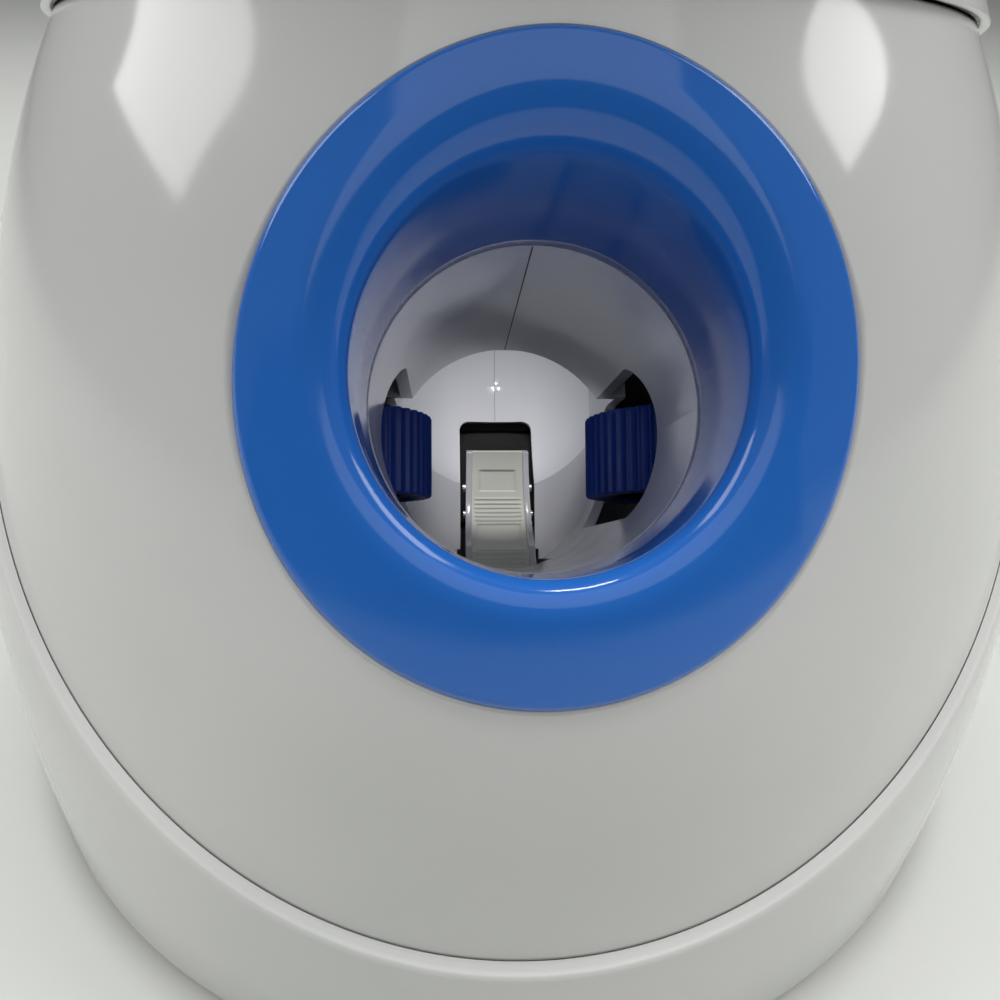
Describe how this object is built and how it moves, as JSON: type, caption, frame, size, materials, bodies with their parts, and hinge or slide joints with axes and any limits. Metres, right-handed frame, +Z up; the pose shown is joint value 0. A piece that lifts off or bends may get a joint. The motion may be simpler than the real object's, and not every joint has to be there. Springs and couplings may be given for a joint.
{
  "type": "automatic dog ball launcher",
  "caption": "Round table-top ball launcher for dogs: a hopper on top feeds a slanted barrel, where an arm pushes each ball between spinning flywheels and out of a ringed mouth.",
  "frame": {"origin": "on the floor at the middle of the round base", "axes": "+Z up, -Y towards the mouth, +X to the right seen from the front"},
  "size_m": [0.264, 0.2639, 0.249],
  "materials": {
    "white_gloss": "glossy white moulded ABS",
    "barrel_white": "glossy white moulded ABS with faint scuffs",
    "blue_gloss": "glossy medium blue moulded ABS",
    "navy_rubber": "satin navy rubber with fine ribs",
    "ivory": "satin ivory acetal",
    "black_plastic": "satin black plastic",
    "grey_base": "matt light grey plastic",
    "grey_panel": "satin grey plastic",
    "button_blue": "glossy blue key",
    "lens": "translucent green lens",
    "steel": "zinc-plated steel",
    "motor_can": "plated steel can",
    "foot_rubber": "matt black rubber",
    "board_green": "green solder mask"
  },
  "bodies": {
    "housing": {"ball_sensor_emitter": "black_plastic", "ball_sensor_receiver": "black_plastic", "barrel_left": "barrel_white", "barrel_right": "barrel_white", "barrel_screws": "steel", "base_plate": "grey_base", "battery_box": "grey_base", "battery_contacts": "steel", "board_components": "black_plastic", "board_screws": "steel", "chassis_plate_left": "black_plastic", "chassis_plate_right": "black_plastic", "chassis_screws": "steel", "chute_screws": "steel", "circuit_board": "board_green", "control_board": "board_green", "control_panel": "grey_panel", "dc_socket": "black_plastic", "feed_gearbox": "black_plastic", "feed_motor": "motor_can", "flywheel_motor_left": "motor_can", "flywheel_motor_right": "motor_can", "front_shell": "white_gloss", "home_switch": "black_plastic", "hopper_collar": "white_gloss", "hopper_funnel": "blue_gloss", "housing_screws": "steel", "indicator_lenses": "lens", "key_switches": "black_plastic", "motor_screws": "steel", "mouth_ring": "blue_gloss", "pusher_pivot_pin": "steel", "rear_housing": "white_gloss", "rubber_feet": "foot_rubber"},
    "flywheel_left": {"flywheel_tyre_left": "navy_rubber", "flywheel_hub_left": "black_plastic", "flywheel_shaft_left": "steel"},
    "flywheel_right": {"flywheel_tyre_right": "navy_rubber", "flywheel_hub_right": "black_plastic", "flywheel_shaft_right": "steel"},
    "pusher": {"pusher_arm": "ivory", "pusher_cross_pins": "steel"},
    "feed_drive": {"feed_pinion": "ivory"},
    "power_key": {"power_button": "button_blue"},
    "distance_key": {"distance_button": "button_blue"},
    "battery_cover": {"battery_door": "grey_base", "battery_door_screw": "steel"}
  },
  "joints": [
    {"name": "flywheel_left_spin", "type": "hinge", "parent": "housing", "child": "flywheel_left", "pos_m": [-0.0452, -0.02658, 0.08891], "axis": [0, 0.6088, 0.7934], "continuous": true},
    {"name": "flywheel_right_spin", "type": "hinge", "parent": "housing", "child": "flywheel_right", "pos_m": [0.0452, -0.02658, 0.08891], "axis": [0, 0.6088, 0.7934], "continuous": true},
    {"name": "pusher_swing", "type": "hinge", "parent": "housing", "child": "pusher", "pos_m": [0, -0.03517, 0.035], "axis": [1, 0, 0], "range_deg": [-9, 22]},
    {"name": "feed_pinion_turn", "type": "hinge", "parent": "housing", "child": "feed_drive", "pos_m": [0, -0.01016, 0.02333], "axis": [1, 0, 0], "range_deg": [-62.4, 25.6]},
    {"name": "power_press", "type": "slide", "parent": "housing", "child": "power_key", "axis": [0, -1, 0], "range_m": [0, 0.0008], "stiffness_N_per_m": 300, "springref_m": -0.0008},
    {"name": "distance_press", "type": "slide", "parent": "housing", "child": "distance_key", "axis": [0, -1, 0], "range_m": [0, 0.0008], "stiffness_N_per_m": 300, "springref_m": -0.0008},
    {"name": "battery_door_lift_off", "type": "slide", "parent": "housing", "child": "battery_cover", "axis": [0, 0, -1], "range_m": [0, 0.03]}
  ],
  "couplings": [
    {"joint": "feed_pinion_turn", "follows": "pusher_swing", "ratio": -2.8333}
  ]
}
